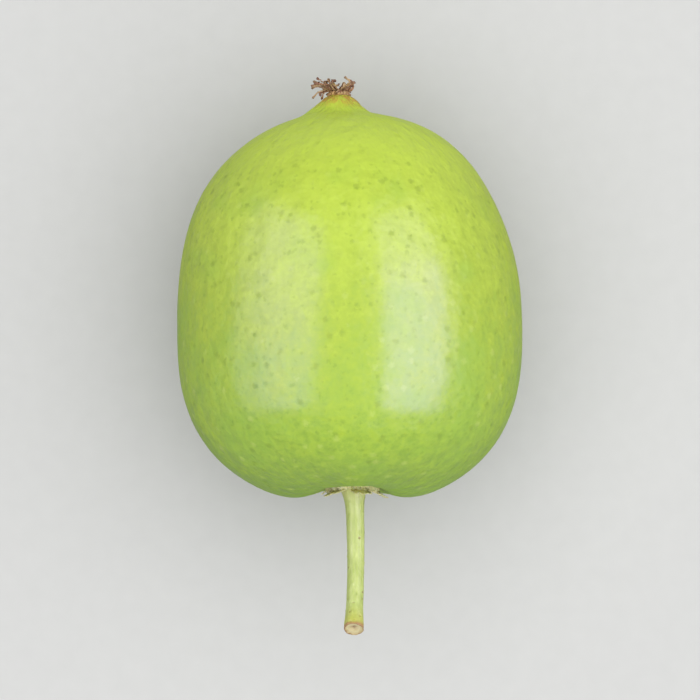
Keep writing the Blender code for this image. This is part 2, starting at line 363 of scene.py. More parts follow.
def skin_relief(grid, radius, turn, beak_rings):
    """How far each point of the skin stands out from the smooth form, in millimetres."""
    height = BROAD_SWELL * bumps(grid, 8.0) + SMALL_SWELL * bumps(grid, 2.2, 2, 9.0)
    ribs = np.cos(RIBS * turn + 1.1 * np.sin(2.0 * turn)) + 0.7 * np.cos(FINE_RIBS * turn + 2.0)
    height += RIB_HEIGHT * ribs * (radius / HALF_WIDTH) * 0.5
    on_beak = np.where(beak_rings, 1.0, 0.0)[:, None]
    beak_folds = furrows(turn, BEAK_FOLDS, 3, 0.07, 0.2)
    height -= BEAK_FOLD_DEPTH * on_beak * beak_folds * swell(radius - BEAK_FOLD_PLACE, BEAK_FOLD_REACH)
    dimple_folds = furrows(turn, DIMPLE_FOLDS, 5, 0.1, 0.26)
    height -= (DIMPLE_FOLD_DEPTH * (1.0 - on_beak) * dimple_folds
               * swell(radius - DIMPLE_FOLD_PLACE, DIMPLE_FOLD_REACH))
    sideways = np.cos(turn) * np.abs(np.cos(turn))
    height -= STEEP_SIDE * on_beak * swell(radius - STEEP_PLACE, STEEP_REACH) * sideways
    uneven = 1.0 + 0.12 * bumps(grid, 0.7, 2, 5.0)
    height += CAP_HEIGHT * on_beak * np.exp(-(radius / (CAP_RADIUS * uneven)) ** CAP_POWER)
    return height


def make_skin():
    """The fine skin, with its poles closed and the flat spot that it lies on."""
    relief = skin_relief(smooth_skin, radius_grid, turn_grid, beak_rings)
    grid = smooth_skin + outwards(smooth_skin) * relief[..., None]
    points, faces = wrap(grid, BEAK_TIP + np.array([0.0, CAP_HEIGHT, 0.0]), DIMPLE_FLOOR)
    settled = turned(points)
    settled[:, 2] = np.maximum(settled[:, 2], -PLACE[2] / MM)
    upright = turned(settled, -REST_PITCH)
    pole_turn = np.concatenate([turn_grid.ravel(), [0.0, 0.0]])
    pole_radius = np.concatenate([radius_grid.ravel(), [0.0, 0.0]])
    walk = np.concatenate([np.repeat(skin_walk, SKIN_TURNS), [0.0, skin_walk[-1]]])
    end = np.concatenate([np.repeat(beak_rings, SKIN_TURNS), [True, False]])
    unrolled = np.stack([HALF_WIDTH * np.cos(pole_turn), walk, HALF_WIDTH * np.sin(pole_turn)], axis=-1)
    notes = {"fruit": points, "unrolled": unrolled,
             "from_beak": np.where(end, pole_radius, FAR),
             "from_stalk": np.where(end, FAR, pole_radius)}
    return make_piece("berry_skin", [(upright, faces)], notes, "berry")


berry_skin = make_skin()

# %% [markdown]
# Tubes along a line
#
# The stalk, the styles and the dry threads are all tubes. A tube needs a middle line, a thickness
# for each step and a cross-section that turns with the line without spinning about it. Carrying one
# sideways direction from ring to ring, and straightening it at each, gives that.

# %% Tube maker
NEARLY_UPRIGHT = 0.1


def tube_rings(line, half_thickness, sides, flat=1.0, twist=0.0):
    """Rings of points round a line, with a half thickness that may vary along and round it.

    A flat tube is thinner one way than the other, and a twist turns it, in radians from end to end.
    """
    ahead = unit(np.gradient(line, axis=0))
    side = np.cross(ahead[0], [0.0, 0.0, 1.0])
    if np.linalg.norm(side) < NEARLY_UPRIGHT:
        side = np.cross(ahead[0], [1.0, 0.0, 0.0])
    turn = turns_of(sides)[:, None]
    rings = []
    for step, (middle, forward) in enumerate(zip(line, ahead)):
        side = unit(side - forward * side.dot(forward))
        up = np.cross(side, forward)
        spin = twist * step / len(line)
        wide = math.cos(spin) * side + math.sin(spin) * up
        thin = math.cos(spin) * up - math.sin(spin) * side
        reach = np.broadcast_to(half_thickness[step], (sides,))[:, None]
        rings.append(middle + reach * (np.cos(turn) * wide + flat * np.sin(turn) * thin))
    return np.array(rings)


straight = np.linspace((0.0, 0.0, 0.0), (0.0, 2.0, 0.0), 3)
print("rings, points and axes of a short tube:", tube_rings(straight, np.ones(3), 6).shape)

# %% [markdown]
# The cut stalk
#
# The stalk is a fresh green twig about a millimetre thick. It widens into a little foot where it
# grows out of the dimple, it has fine ridges and small corky pores, and its free end was cut at a
# slant, so the pale wood and its darker pith look up at the viewer. A bevelled curve could make it,
# but with rings of points the ridges, the pores and the cut are real shapes. Its line and thickness
# are the solid's. The cut face is made of rings too, that step inwards and sink towards the pith.

# %% Sizes of the stalk, in millimetres
STEM_REACH = 8.65
STEM_RISE = 2.3
STEM_BEND = 0.12
STEM_RADIUS = 0.49
STEM_NECK_RADIUS = 0.55
STEM_FLARE_RADIUS = 0.98
STEM_FLARE_LENGTH = 0.75
STEM_NECK_LENGTH = 3.0
STEM_END_RADIUS = 0.57
STEM_END_LENGTH = 0.8
STEM_CUT_ANGLE = math.radians(10)
STEM_CUT_START = 0.8  # share of the stalk from which its rings lean towards the cut
STEM_ROOT = -0.5
STEM_SIDES = 72
STEM_STEPS = 240
PORE_HEIGHT = 0.03  # share of the stalk's thickness
COLLAR_FOLD = 0.06
FRAY = 0.012
# The cut face, from its edge inwards: share of the radius, and height above the end
CUT_STEPS = ((0.985, 0.02), (0.95, 0.035), (0.9, 0.02), (0.82, -0.02), (0.7, -0.045),
             (0.58, -0.03), (0.46, -0.05), (0.34, -0.1), (0.22, -0.14), (0.1, -0.155))


def stem_half(along):
    """Half the stalk's thickness at distances along it."""
    flare = (STEM_FLARE_RADIUS - STEM_NECK_RADIUS) * swell(along, STEM_FLARE_LENGTH)
    neck = (STEM_NECK_RADIUS - STEM_RADIUS) * swell(along, STEM_NECK_LENGTH)
    end = (STEM_END_RADIUS - STEM_RADIUS) * swell(STEM_REACH - along, STEM_END_LENGTH)
    return STEM_RADIUS + flare + neck + end


def stem_line(share):
    """The stalk's middle line: out along -Y, rising and bowing a little."""
    return np.stack([STEM_BEND * np.sin(np.pi * share), -STEM_REACH * share,
                     STEM_RISE * share ** 2], axis=-1)


def make_stalk():
    """The stalk with its ridges, pores and cut face."""
    foot = DIMPLE_FLOOR - np.array([0.0, GAP, 0.0])
    share = np.linspace(STEM_ROOT / STEM_REACH, 1.0, STEM_STEPS)
    line = stem_line(share)
    turn = turns_of(STEM_SIDES)
    rings = tube_rings(line, np.ones(STEM_STEPS), STEM_SIDES)
    out = rings - line[:, None]
    ahead = unit(np.gradient(line, axis=0))
    along = (STEM_REACH * share)[:, None]
    ridges = (0.018 * np.cos(7.0 * turn + 0.5 * np.sin(along * 0.7))
              + 0.010 * np.cos(12.0 * turn - 0.35 * along) + 0.007 * np.cos(19.0 * turn + 1.0))
    grain = bumps(rings * np.array([1.0, 0.25, 1.0]), 0.22, 2, 4.0)
    dents = bumps(rings, 0.9, 1, 7.0)
    thick = stem_half(along) * (1.0 + ridges + 0.012 * grain + 0.03 * dents)
    pores = bumps(rings * np.array([1.0, 0.7, 1.0]), 0.17, 1, 21.0)
    thick += PORE_HEIGHT * np.clip(pores - 0.42, 0.0, 0.25) / 0.25
    thick -= COLLAR_FOLD * furrows(turn, 13, 8, 0.06, 0.14) * swell(along - 0.1, 0.55)
    leaning = np.clip((share - STEM_CUT_START) / (1.0 - STEM_CUT_START), 0.0, 1.0)
    slant = math.tan(STEM_CUT_ANGLE) * leaning[:, None]

    def place(out, thick, slant, ahead, line, lift=0.0):
        """Rings round the line, with their upper sides held back by the slant."""
        rise = out[..., 2] * thick
        return line + out * thick[..., None] + ahead * (lift - slant * rise)[..., None]

    rows = [place(out, thick, slant, ahead[:, None], line[:, None])]
    cores = [np.ones((STEM_STEPS, STEM_SIDES))]
    for reach, lift in CUT_STEPS:
        fray = FRAY * bumps(rings[-1:], 0.16, 1, 31.0 + reach * 9.0)[0]
        rim = place(out[-1], thick[-1] * reach, slant[-1], ahead[-1], line[-1], lift)
        rows.append((rim + ahead[-1] * fray[:, None])[None])
        cores.append(np.full((1, STEM_SIDES), reach))
    grid = np.concatenate(rows)
    centre = line[-1] + ahead[-1] * CUT_STEPS[-1][1]
    points, faces = wrap(grid + foot, line[0] + foot, centre + foot)
    core = np.concatenate([np.concatenate(cores).ravel(), [1.0, 0.0]])
    cut_along = np.full((len(CUT_STEPS), STEM_SIDES), STEM_REACH)
    from_foot = np.concatenate([np.broadcast_to(along, (STEM_STEPS, STEM_SIDES)), cut_along]).ravel()
    from_foot = np.concatenate([from_foot, [STEM_ROOT, STEM_REACH]])
    notes = {"fruit": points, "core": core, "from_foot": from_foot}
    return make_piece("cut_stalk", [(points, faces)], notes, "stem", 45.0)


cut_stalk = make_stalk()

# %% [markdown]
# The torn calyx
#
# Under the flower there were five sepals. On the ripe fruit they are dry straw-coloured stubs on a
# corky ring round the stalk's foot, torn at their ends and curled off the skin, with a few dry
# threads of stamens between them. The ring is one closed band that follows the dimple. One torn
# sheet could be all five stubs, but as separate thin slabs each tears and curls in its own way.
# Where they stand comes from the same seeded draws as in the solid. The upper ones stand a little
# further off the skin, and so hide the lower ones from above.

# %% Sizes of the calyx, in millimetres
CALYX_INNER = STEM_FLARE_RADIUS + GAP
CALYX_OUTER = 1.72
CALYX_STUB = 0.55
CALYX_LIFT = 0.36
SEPALS = 5
SEED = 11
BAND_TURNS = 300
BAND_SIDES = 26
BAND_ROOT = 0.42  # how far the band reaches in under the stalk's foot
BAND_CREASES = 34
SEPAL_ROWS = 26
SEPAL_COLUMNS = 30
SEPAL_ROOT = 0.1
SEPAL_BASE = 0.09  # thickness where a stub grows from the band
SEPAL_THINNING = 0.05
THREADS = 10
THREAD_STEPS = 28
THREAD_SIDES = 8
THREAD_HALF = 0.035


def sepal_draws():
    """Middle turn, half width and length of each torn sepal, as in the solid."""
    draw = random.Random(SEED)
    draws = []
    for sepal in range(SEPALS):
        middle = FULL_TURN * (sepal + draw.uniform(-0.12, 0.12)) / SEPALS
        draws.append((middle, draw.uniform(0.28, 0.4), draw.uniform(0.55, 1.0)))
    return draws


def off_skin(radius, turn, lift):
    """Points above the skin of the stalk end, by a lift away from the fruit."""
    return skin_at(radius, turn, False) - lift[..., None] * np.array([0.0, 1.0, 0.0])


def make_band():
    """The corky ring: a closed band, wrinkled and uneven, with its root in the skin."""
    turn, around = np.meshgrid(turns_of(BAND_TURNS), turns_of(BAND_SIDES), indexing="ij")
    circle = 2.0 * np.stack([np.cos(turn), np.sin(turn), 0.0 * turn], axis=-1)
    ragged = bumps(circle, 0.35, 3, 2.0)
    outer = CALYX_OUTER - 0.12 + 0.1 * ragged
    inner = CALYX_INNER - BAND_ROOT
    radius = (outer + inner) / 2.0 + (outer - inner) / 2.0 * np.cos(around)
    crust = bumps(circle + 0.3 * around[..., None] * np.array([0.0, 0.0, 1.0]), 0.3, 3, 5.0)
    creases = furrows(turn, BAND_CREASES, 12, 0.02, 0.05)
    lift = CALYX_LIFT * (np.sin(around) + 0.3) * (1.0 + 0.25 * crust - 0.3 * creases)
    points, faces = wrap(off_skin(radius, turn, lift))
    last = (BAND_TURNS - 1) * BAND_SIDES
    for i in range(BAND_SIDES):
        j = (i + 1) % BAND_SIDES
        faces.append((last + i, last + j, j, i))
    return points, faces


def make_sepal(middle, width, length, seed):
    """One dry stub: thin, cupped, crinkled, curled off the skin and torn at its end."""
    out, across = np.meshgrid(np.linspace(0.0, 1.0, SEPAL_ROWS),
                              np.linspace(-1.0, 1.0, SEPAL_COLUMNS), indexing="ij")
    flow = np.stack([across * 1.3, out, across * 0.0 + seed], axis=-1)
    tear = 0.16 + 0.3 * bumps(flow * np.array([1.0, 0.0, 1.0]), 0.28, 3, 1.0)
    reach = out * (1.0 - np.clip(tear, 0.0, 0.55) - 0.22 * across ** 2)
    radius = CALYX_INNER - SEPAL_ROOT + (CALYX_OUTER - CALYX_INNER + CALYX_STUB * length) * reach
    edge = 1.0 + 0.1 * bumps(flow * np.array([0.2, 1.6, 1.0]), 0.3, 2, 3.0)
    turn = middle + across * edge * (width + 0.12) * (1.0 - 0.28 * out)
    crinkle = bumps(flow, 0.3, 3, 8.0)
    veins = np.cos(across * 9.0 + 0.6 * crinkle)
    upper = np.sin(middle) * 0.16 + 0.04
    curl = (0.2 * length - 0.16) * reach ** 2 - 0.1 * reach
    lift = CALYX_LIFT + upper + curl + 0.05 * crinkle * (0.3 + reach) + 0.018 * veins
    return slab(off_skin(radius, turn, lift)[:, ::-1], SEPAL_BASE - SEPAL_THINNING * out)


def make_thread(draw):
    """A dry stamen thread, lying outwards over the skin and curling at its end."""
    turn = draw.uniform(0.0, FULL_TURN)
    length = draw.uniform(0.3, 0.7)
    share = np.linspace(0.0, 1.0, THREAD_STEPS)
    lean = draw.uniform(-0.6, 0.6)
    curl = draw.uniform(-0.8, 0.9)
    radius = CALYX_INNER + 0.1 + length * (share - 0.25 * share ** 2)
    along = turn + lean * share ** 1.5 + 0.12 * np.sin(5.0 * share + curl * 3.0)
    lift = 0.24 + draw.uniform(0.0, 0.2) * np.sin(2.6 * share) + 0.04 * np.sin(9.0 * share + curl)
    line = off_skin(radius, along, lift)
    half = THREAD_HALF * (1.0 - 0.55 * share) + 0.03 * swell(share - 1.0, 0.08)
    return wrap(tube_rings(line, half, THREAD_SIDES), line[0], line[-1])


def make_calyx():
    """Band, stubs and threads in one object."""
    draw = random.Random(SEED + 1)
    bodies = [make_band()]
    bodies += [make_sepal(*facts, index) for index, facts in enumerate(sepal_draws())]
    leafy = sum(len(points) for points, faces in bodies)
    bodies += [make_thread(draw) for _ in range(THREADS)]
    points = np.concatenate([part for part, faces in bodies])
    out = np.linalg.norm(points[:, [0, 2]] - DIMPLE_FLOOR[[0, 2]], axis=1)
    thread = np.where(np.arange(len(points)) < leafy, 0.0, 1.0)
    notes = {"fruit": points, "out": out, "thread": thread}
    return make_piece("torn_calyx", bodies, notes, "calyx_ring", 55.0)


torn_calyx = make_calyx()

# %% [markdown]
# The tuft of dry styles
#
# The flower had a ring of styles that spread like a star. On the fruit they are dry, red-brown and
# crooked, with a swollen tip, and they stand on a small wrinkled knob. Fifteen of them follow the
# solid's draws. Each is a flattened, pleated tube that twisted and bent over as it dried. Hair could
# fill the tuft, but a mesh keeps these forms in every program. Many short broken styles, which the
# solid leaves out, stand between the fifteen. Every other one leans to the left, where the tuft is
# longer and thicker.

# %% Sizes of the tuft, in millimetres
STYLE_COUNT = 15
STYLE_SHORTEST = 1.2
STYLE_LONGEST = 1.75
STYLE_SIDES = 14
STYLE_STEPS = 48
STYLE_HALF = 0.086
STYLE_FLATNESS = 0.55
STYLE_TWIST = 3.6  # radians from foot to tip
STYLE_CROOK = 0.1
PLEATS = 2.5  # half as many as there are pleats round a style
PLEAT_DEPTH = 0.26
SHORT_STYLES = 52
SHORT_SEED = 40
OUTWARD_STEP = 0.381966  # the golden angle, as a share of a full turn
KNOB_RADIUS = 0.68
KNOB_HEIGHT = 0.2
KNOB_ROOT = 0.25
KNOB_RINGS = 48
KNOB_SIDES = 180
KNOB_FOLDS = 22
KNOB_SHARE = 0.3  # the knob is coloured like a style this far along
KNOB_KIND = 0.65
SHRINK = 0.88
TALLEST = 1.0


def style_line(turn, length, rise, curl, sway, share):
    """A style's middle line: out from the tuft's middle, then curling forwards or back."""
    outward = np.array([math.cos(turn), 0.0, math.sin(turn)])
    sideways = np.array([-math.sin(turn), 0.0, math.cos(turn)])
    forwards = np.array([0.0, 1.0, 0.0])
    share = share[:, None]
    return length * (outward * share + forwards * (0.12 + rise * share + curl * share ** 2)
                     + sideways * sway * share ** 2)


def hooked(line, turn, hook):
    """The same line with its outer half bent over, forwards or back, like a drying thread."""
    outward = np.array([math.cos(turn), 0.0, math.sin(turn)])
    steps = np.diff(line, axis=0)
    share = np.linspace(0.0, 1.0, len(steps))
    bend = hook * np.clip((share - 0.4) / 0.6, 0.0, 1.0) ** 1.5
    out = steps @ outward
    ahead = steps[:, 1].copy()
    new_out = out * np.cos(bend) - ahead * np.sin(bend)
    new_ahead = ahead * np.cos(bend) + out * np.sin(bend)
    steps = steps + (new_out - out)[:, None] * outward
    steps[:, 1] += new_ahead - ahead
    line = (line[0] + np.concatenate([np.zeros((1, 3)), np.cumsum(steps, axis=0)])) * SHRINK
    line[:, 1] = TALLEST * np.tanh(line[:, 1] / TALLEST)
    return line


def make_style(line, thick, seed):
    """One dry style, crooked, flattened and twisted, with a swollen tip, and its grooves."""
    share = np.linspace(0.0, 1.0, len(line))
    wander = np.stack([share * 3.0, share * 0.0 + seed, share * 0.0], axis=-1)
    crook = np.stack([bumps(wander, 0.5, 2, 3.0 + axis) for axis in range(3)], axis=-1)
    line = line + STYLE_CROOK * crook * share[:, None]
    half = thick * (STYLE_HALF - 0.03 * share + 0.042 * swell(share - 0.97, 0.07))
    grooves = np.cos(PLEATS * turns_of(STYLE_SIDES) + seed + 2.0 * share[:, None]) ** 2
    pleated = half[:, None] * (1.0 - PLEAT_DEPTH * grooves)
    rings = tube_rings(line, pleated, STYLE_SIDES, STYLE_FLATNESS, STYLE_TWIST)
    wrinkle = bumps(rings, 0.07, 2, seed * 3.1)
    rings = line[:, None] + (rings - line[:, None]) * (1.0 + 0.28 * wrinkle[..., None])
    tip = line[-1] + (line[-1] - line[-3]) * 0.6
    return *wrap(rings, line[0], tip), np.append(grooves, [1.0, 0.0])


def make_knob():
    """The low crust that the styles grow from, with its root in the beak, and its folds."""
    angle = np.linspace(-0.5 * np.pi, 0.5 * np.pi, KNOB_RINGS + 2)[1:-1]
    angle, turn = np.meshgrid(angle, turns_of(KNOB_SIDES), indexing="ij")
    folds = furrows(turn, KNOB_FOLDS, 21, 0.04, 0.11)
    radius = KNOB_RADIUS * np.cos(angle) * (1.0 - 0.3 * folds)
    along = np.where(angle > 0.0, KNOB_HEIGHT, KNOB_ROOT) * np.sin(angle)
    rings = np.stack([radius * np.cos(turn), along, radius * np.sin(turn)], axis=-1)
    rings += 0.07 * bumps(rings, 0.2, 4, 3.0)[..., None]
    points, faces = wrap(rings[::-1], [0.0, KNOB_HEIGHT, 0.0], [0.0, -KNOB_ROOT, 0.0])
    return points, faces, np.append(folds[::-1], [0.0, 0.0])


def make_tuft():
    """Crust, styles and short broken styles in one object on the tip of the beak."""
    draw = random.Random(SEED)
    bend = random.Random(SEED + 2)
    tint = random.Random(SEED + 3)
    share = np.linspace(0.0, 1.0, STYLE_STEPS)
    *knob, folds = make_knob()
    bodies, grooves = [knob], [folds]
    shares = [np.full(len(folds), KNOB_SHARE)]
    kinds = [np.full(len(folds), KNOB_KIND)]

    def add(line, turn, hook, thick, seed):
        *style, pleats = make_style(hooked(line, turn, hook), thick, seed)
        bodies.append(style)
        grooves.append(pleats)
        steps = np.repeat(np.linspace(0.0, 1.0, len(line)), STYLE_SIDES)
        shares.append(np.concatenate([steps, [0.0, 1.0]]))
        kinds.append(np.full(len(shares[-1]), tint.random()))

    for index in range(STYLE_COUNT):
        turn = FULL_TURN * (index * OUTWARD_STEP + draw.uniform(-0.03, 0.03))
        length = draw.uniform(STYLE_SHORTEST, STYLE_LONGEST)
        rise = draw.uniform(0.0, 0.55)
        curl = draw.uniform(-0.35, 0.2)
        sway = draw.uniform(-0.4, 0.4)
        line = style_line(turn, length, rise, curl, sway, share)
        hook = bend.uniform(-1.4, 2.6) if math.cos(turn) < 0.3 else bend.uniform(2.4, 3.6)
        add(line, turn, hook, bend.uniform(0.95, 1.3), index)
    for index in range(SHORT_STYLES):
        leftward = index % 2 == 0
        turn = math.pi * (bend.uniform(0.6, 1.4) if leftward else bend.uniform(0.0, 2.0))
        length = bend.uniform(1.0, 1.75) if leftward else bend.uniform(0.6, 1.2)
        line = style_line(turn, length, bend.uniform(0.0, 0.6),
                          bend.uniform(-0.3, 0.3), bend.uniform(-0.7, 0.7), share)
        add(line, turn, bend.uniform(-2.0, 3.4), bend.uniform(0.7, 1.0), SHORT_SEED + index)
    foot = BEAK_TIP + np.array([0.0, GAP, 0.0])
    bodies = [(points + foot, faces) for points, faces in bodies]
    points = np.concatenate([part for part, faces in bodies])
    notes = {"fruit": points, "share": np.concatenate(shares), "kind": np.concatenate(kinds),
             "groove": np.concatenate(grooves)}
    return make_piece("dry_tuft", bodies, notes, "dried_styles")


dry_tuft = make_tuft()

# %% [markdown]
# Finishes as expressions
#
# A finish is a web of nodes, and a web is hard to read. Here a wire is a value like any other: adding,
# subtracting and multiplying wires adds the Math nodes. Colours are mixed, never sent through Math,
# which would turn them grey. Any other node comes from one method.

# %% Wires and finishes
class Wire:
    """One output of a node, which takes part in arithmetic."""

    def __init__(self, finish, socket):
        self.finish = finish
        self.socket = socket

    def maths(self, operation, *values):
        """A Math node's output, as a new wire."""
        return self.finish.node("Math", {"operation": operation}, dict(enumerate(values)))

    def __add__(self, other):
        return self.maths("ADD", self, other)

    __radd__ = __add__

    def __sub__(self, other):
        return self.maths("SUBTRACT", self, other)

    def __rsub__(self, other):
        return self.maths("SUBTRACT", other, self)

    def __mul__(self, other):
        return self.maths("MULTIPLY", self, other)

    __rmul__ = __mul__

    def between(self, start, end, low=0.0, high=1.0):
        """A smooth step from low at start to high at end."""
        return self.finish.node("MapRange", {"interpolation_type": "SMOOTHSTEP"},
                                {0: self, 1: start, 2: end, 3: low, 4: high})


class Finish:
    """A material whose nodes all come from one method."""

    def __init__(self, name):
        self.material = bpy.data.materials.new(name)
        self.material.use_nodes = True
        self.tree = self.material.node_tree
        self.tree.nodes.clear()

    def node(self, kind, settings=None, sockets=None, output=0):
        """A node with its settings made first, then the values or wires of its sockets."""
        made = self.tree.nodes.new("ShaderNode" + kind)
        for key, value in (settings or {}).items():
            if key == "stops":
                self.set_stops(made.color_ramp, value)
            else:
                setattr(made, key, value)
        for key, value in (sockets or {}).items():
            if isinstance(value, Wire):
                self.tree.links.new(value.socket, made.inputs[key])
            elif isinstance(value, tuple) and made.inputs[key].type == "RGBA":
                made.inputs[key].default_value = (*value, 1.0)
            else:
                made.inputs[key].default_value = value
        return Wire(self, made.outputs[output]) if made.outputs else None

    @staticmethod
    def set_stops(ramp, stops):
        """A ramp's stops, each a place from 0 to 1 and a colour."""
        while len(ramp.elements) < len(stops):
            ramp.elements.new(0.5)
        for element, (place, colour) in zip(ramp.elements, stops):
            element.position = place
            element.color = (*colour, 1.0)

    def note(self, name, output="Fac"):
        """A note that the mesh carries: a number by default, or a vector."""
        return self.node("Attribute", {"attribute_name": name}, output=output)

    def cloud(self, place, scale, detail=2.0, rough=0.5):
        """Soft noise around 0.5."""
        return self.node("TexNoise", {}, {"Vector": place, "Scale": scale, "Detail": detail,
                                          "Roughness": rough})

    def ramp(self, stops, share):
        """A colour read from a row of colour stops."""
        return self.node("ValToRGB", {"stops": stops}, {0: share})

    def mix(self, share, first, second):
        """Two colours, mixed by a share."""
        return self.node("Mix", {"data_type": "RGBA"}, {0: share, 6: first, 7: second}, output=2)

    def dots(self, place, scale, size, shift=0.0, uneven=0.12):
        """Specks of random size, 1 in their middles, from the slices of scattered balls."""
        wander = self.node("TexNoise", {}, {"Vector": place, "Scale": 6.0, "Detail": 1.0}, output=1)
        moved = self.node("VectorMath", {"operation": "MULTIPLY_ADD"},
                          {0: wander, 1: (uneven,) * 3, 2: place})
        moved = self.node("VectorMath", {"operation": "ADD"}, {0: moved, 1: (shift,) * 3})
        away = self.node("TexVoronoi", {}, {"Vector": moved, "Scale": scale})
        return away.between(size * scale, 0.3 * size * scale)

    def scaled(self, place, factors):
        """A place, stretched or squeezed along each axis."""
        return self.node("VectorMath", {"operation": "MULTIPLY"}, {0: place, 1: factors})

    def bump(self, height, depth):
        """A surface direction from a height, depth in millimetres."""
        return self.node("Bump", {}, {"Height": height, "Distance": depth * MM, "Strength": 1.0})

    def surface(self, piece, sockets):
        """The surface shader, and the material in the piece's slot."""
        shader = self.node("BsdfPrincipled", {}, sockets)
        self.node("OutputMaterial", {}, {"Surface": shader})
        piece.data.materials.clear()
        piece.data.materials.append(self.material)
        print(self.material.name, "finish,", len(self.tree.nodes), "nodes, on", piece.name)


print("a finish can make:", [name for name in vars(Finish) if not name.startswith("_")])

# %% [markdown]
# Skin finish
#
# Ripe skin is yellow-green, yellower at the beak and deeper green towards the stalk. Part of that
# run is painted light: the skin is painted lighter towards the beak and darker towards the stalk,
# as light from the beak's side would make it. It is also painted darker and greener towards its
# underside, as painted shade. It has soft blotches, greener patches and faint streaks from pole to
# pole where the veins run under it. Over that lie fine dark and pale pores, a russet tinge in the
# dimple and a tan crust under the tuft. The yellow at the beak is partly painted light as well. The
# wax is the shader's coat. It is thin where the skin is drawn in at both ends, and worn at the pores.
# Light enters the flesh a little way, so the shader's subsurface is on. A painted picture would need
# the skin unwrapped. Noise doesn't, and it stays sharp close up. Its distances are in millimetres,
# because the mesh carries its place in the fruit's frame.

# %% Skin colours and finish
SKIN_TONES = [
    (0.0, (0.205, 0.34, 0.036)), (0.3, (0.30, 0.44, 0.042)), (0.45, (0.325, 0.457, 0.038)),
    (0.6, (0.357, 0.476, 0.036)), (1.0, (0.47, 0.605, 0.053))]
GREENER = (0.25, 0.42, 0.042)
FINE_PORE = (0.17, 0.27, 0.025)
DASH = (0.15, 0.24, 0.025)
DARK_PORE = (0.16, 0.23, 0.03)
PALE_PORE = (0.48, 0.58, 0.13)
RUSSET = (0.26, 0.25, 0.07)
BEAK_YELLOW_AND_LIGHT = (0.52, 0.68, 0.06)
BEAK_TAN = (0.50, 0.28, 0.05)
FLESH_DEPTHS = (1.0, 1.2, 0.35)  # how far red, green and blue light go in, in millimetres


def finish_skin():
    skin = Finish("skin")
    place = skin.note("fruit", "Vector")
    unrolled = skin.note("unrolled", "Vector")
    from_beak = skin.note("from_beak")
    from_stalk = skin.note("from_stalk")
    along = skin.node("SeparateXYZ", {}, {0: place}, output=1)
    height = skin.node("SeparateXYZ", {}, {0: place}, output=2)
    # Soft tones, from the green stalk end to the yellow beak. They are partly painted light, lighter
    # towards the beak, with painted shade that is darker towards the underside
    blotch = skin.cloud(place, 0.2, 3.0)
    mottle = skin.cloud(place, 1.1, 5.0, 0.65)
    flecks = skin.cloud(place, 2.7, 3.0, 0.6)
    streaks = skin.cloud(skin.scaled(unrolled, (1.15, 0.16, 1.15)), 1.0, 4.0, 0.62)
    uneven = (mottle - 0.5) * 12.0 + (flecks - 0.5) * 10.5
    # The height term is painted shade: the skin is darker and greener towards its underside.
    tone_light_and_shade = (along + (blotch - 0.5) * 6.0 + (streaks - 0.5) * 6.0
            + uneven * along.between(8.0, -6.0, 0.9, 1.4) + height.between(-6.0, 10.0, -7.0, 0.0))
    colour = skin.ramp(SKIN_TONES, tone_light_and_shade.between(-18.0, 14.0))
    greener = skin.cloud(place, 0.27, 2.0).between(0.48, 0.66)
    colour = skin.mix(greener * along.between(11.0, 6.0, 0.0, 0.4), colour, GREENER)
    # Pores, dark and pale
    fine = skin.dots(place, 2.0, 0.14, 3.0, 0.2)
    dashes = skin.dots(unrolled, 1.1, 0.21, 11.0, 0.3)
    dark = skin.dots(place, 0.9, 0.27, 23.0, 0.25)
    pale = skin.dots(place, 0.85, 0.28, 29.0, 0.25)
    colour = skin.mix(fine * 0.28, colour, FINE_PORE)
    colour = skin.mix(dashes * 0.32, colour, DASH)
    colour = skin.mix(dark * 0.34, colour, DARK_PORE)
    colour = skin.mix(pale * along.between(9.0, -4.0, 0.16, 0.36), colour, PALE_PORE)
    # Stains at both ends, and painted light at the beak
    russet = from_stalk.between(2.6, 1.2) * (0.45 + mottle)
    colour = skin.mix(russet * 0.5, colour, RUSSET)
    # Yellowing at the beak, partly real and partly painted light that makes the beak end lighter.
    colour = skin.mix(along.between(7.5, 12.5) * 0.75, colour, BEAK_YELLOW_AND_LIGHT)
    tan = from_beak.between(1.9, 0.7) * (0.3 + 0.7 * flecks.between(0.4, 0.56))
    colour = skin.mix(tan * 0.9, colour, BEAK_TAN)
    # Wax, and the ripple that breaks its highlights
    taut = from_beak.between(1.2, 4.5) * from_stalk.between(1.5, 5.0)
    facing = skin.node("LayerWeight", {}, {"Blend": 0.5}, output=1)
    worn = (dark * 0.4 + fine * 0.25) + (dashes * 0.28 + mottle.between(0.35, 0.7, 0.0, 0.2))
    wax = taut * (facing.between(0.8, 0.35, 0.1, 0.92) - worn)
    gloss = 0.6 - taut * 0.16 + (mottle - 0.5) * 0.25
    peel = skin.cloud(place, 5.0, 2.0)
    ripple = skin.cloud(unrolled, 0.75, 2.0, 0.55)
    relief = (peel * 0.35 + mottle * 0.75) + (ripple * 10.0 + (pale - dark) * 0.3)
    skin.surface(berry_skin, {
        "Base Color": colour, "Roughness": gloss, "Normal": skin.bump(relief, 0.018),
        "Subsurface Weight": 0.18, "Subsurface Radius": FLESH_DEPTHS, "Subsurface Scale": MM,
        "IOR": 1.32, "Coat Weight": wax, "Coat Roughness": 0.205})


finish_skin()

# %% [markdown]
# Stalk finish
#
# The stalk is pale yellow-green with darker olive ridges and small brown pores. Its foot is tan and
# corky, and the last millimetre before the cut turns yellow and then brown where it dried. On the cut
# face the note called core runs from 1 at the bark to 0 in the pith, so one ramp, made uneven by
# noise, paints the brown rim, the pale wood and the brown pith. The dry wood is rougher than bark.

